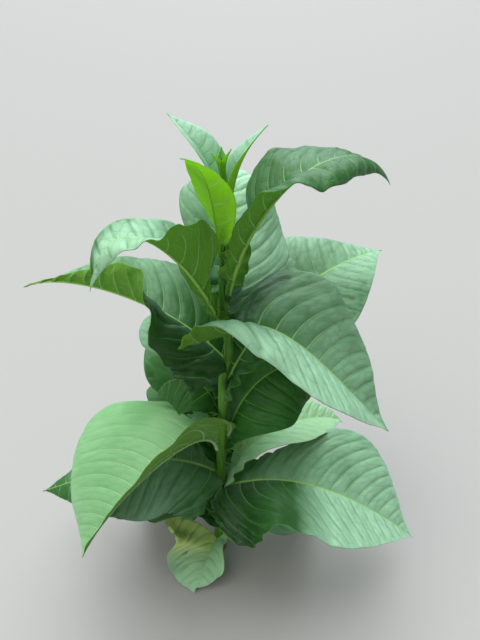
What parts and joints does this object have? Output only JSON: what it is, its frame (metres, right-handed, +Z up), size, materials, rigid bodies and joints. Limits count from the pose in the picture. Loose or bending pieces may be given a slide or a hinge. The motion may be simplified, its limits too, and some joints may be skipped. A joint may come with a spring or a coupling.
{
  "type": "tobacco plant",
  "caption": "Leafy tobacco plant with an upright, slightly zigzag stem and broad pointed leaves that arch and droop all round it, up to a tuft of narrow young leaves.",
  "frame": {"origin": "centre of the flat cut under the stem, at ground level", "axes": "+Z up along the stem, +X to the right and +Y away from someone who looks at the front of the plant"},
  "size_m": [1.033, 0.6385, 1.2186],
  "materials": {
    "stem": "satin green stem, slightly downy",
    "leaf": "matt, finely quilted between the veins",
    "leaf_young": "matt, soft and bright",
    "leaf_lowest": "matt, yellowing"
  },
  "bodies": {
    "root": {"stem": "stem", "leaf_lowest_front": "leaf_lowest", "leaf_low_right_behind": "leaf", "leaf_low_left_behind": "leaf", "leaf_low_back": "leaf", "leaf_low_right_back": "leaf", "leaf_low_right_front": "leaf", "leaf_low_left": "leaf", "leaf_middle_left_back": "leaf", "leaf_middle_right_back": "leaf", "leaf_middle_left_front": "leaf", "leaf_middle_back": "leaf", "leaf_middle_left": "leaf", "leaf_upper_right_back": "leaf", "leaf_upper_left_back": "leaf", "leaf_upper_right_front": "leaf", "leaf_upper_left": "leaf", "leaf_upper_left_front": "leaf", "leaf_upper_back": "leaf", "leaf_top_right": "leaf", "leaf_young_front": "leaf_young", "leaf_young_right": "leaf_young", "leaf_young_left": "leaf_young"}
  },
  "joints": []
}
